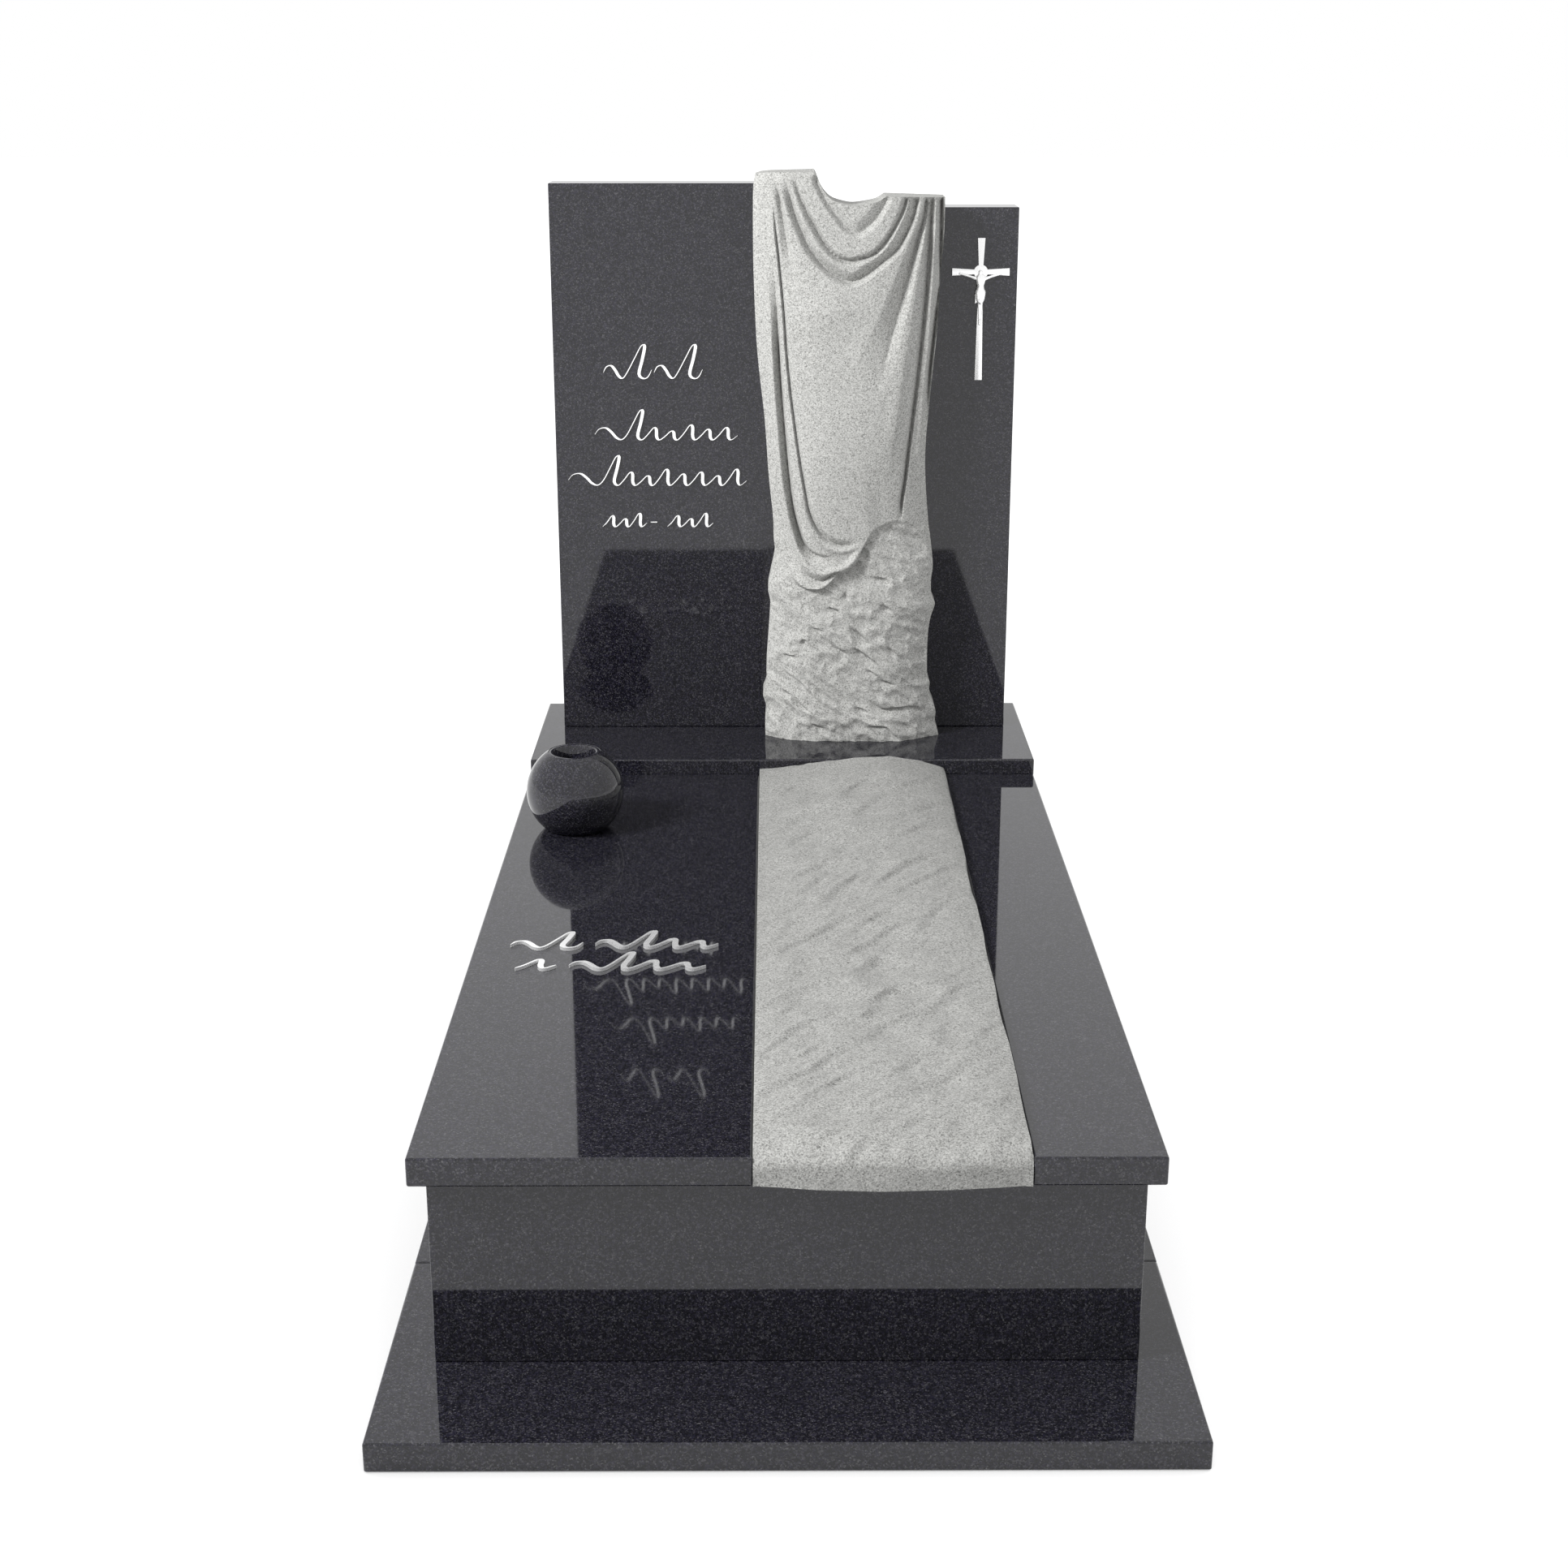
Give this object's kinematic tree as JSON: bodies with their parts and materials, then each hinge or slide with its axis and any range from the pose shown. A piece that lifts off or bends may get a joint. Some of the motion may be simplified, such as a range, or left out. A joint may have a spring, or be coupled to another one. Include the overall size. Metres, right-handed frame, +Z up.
{
  "type": "gravestone with sculpture",
  "caption": "Grave of polished dark granite slabs with a carved draped column of light granite, a rock-faced strip, a crucifix and a ball vase.",
  "frame": {"origin": "middle of the underside of the ledge, on the ground", "axes": "+Z up, +Y from the foot of the grave to the headstone, +X to the right as seen from the foot"},
  "size_m": [1, 2.0716, 1.387],
  "materials": {
    "dark_granite": "polished, fine light specks",
    "light_granite": "split and carved, matt, salt-and-pepper grain",
    "bright_metal": "bright silver"
  },
  "bodies": {
    "root": {"ledge_front_slab": "dark_granite", "ledge_left_strip": "dark_granite", "ledge_right_strip": "dark_granite", "ledge_back_strip": "dark_granite", "kerb_front_wall": "dark_granite", "kerb_back_wall": "dark_granite", "kerb_left_wall": "dark_granite", "kerb_right_wall": "dark_granite", "kerb_cross_wall": "dark_granite", "cover_left_plate": "dark_granite", "cover_right_plate": "dark_granite", "headstone_base": "dark_granite", "headstone_left_panel": "dark_granite", "headstone_right_panel": "dark_granite", "vase": "dark_granite", "cover_rock_strip": "light_granite", "draped_column": "light_granite", "crucifix_cross": "bright_metal", "crucifix_figure": "bright_metal", "panel_stroke_1_left": "bright_metal", "panel_stroke_1_right": "bright_metal", "panel_stroke_2": "bright_metal", "panel_stroke_3": "bright_metal", "panel_stroke_4_left": "bright_metal", "panel_stroke_4_middle": "bright_metal", "panel_stroke_4_right": "bright_metal", "cover_stroke_1_left": "bright_metal", "cover_stroke_1_right": "bright_metal", "cover_stroke_2_left": "bright_metal", "cover_stroke_2_right": "bright_metal"}
  },
  "joints": []
}
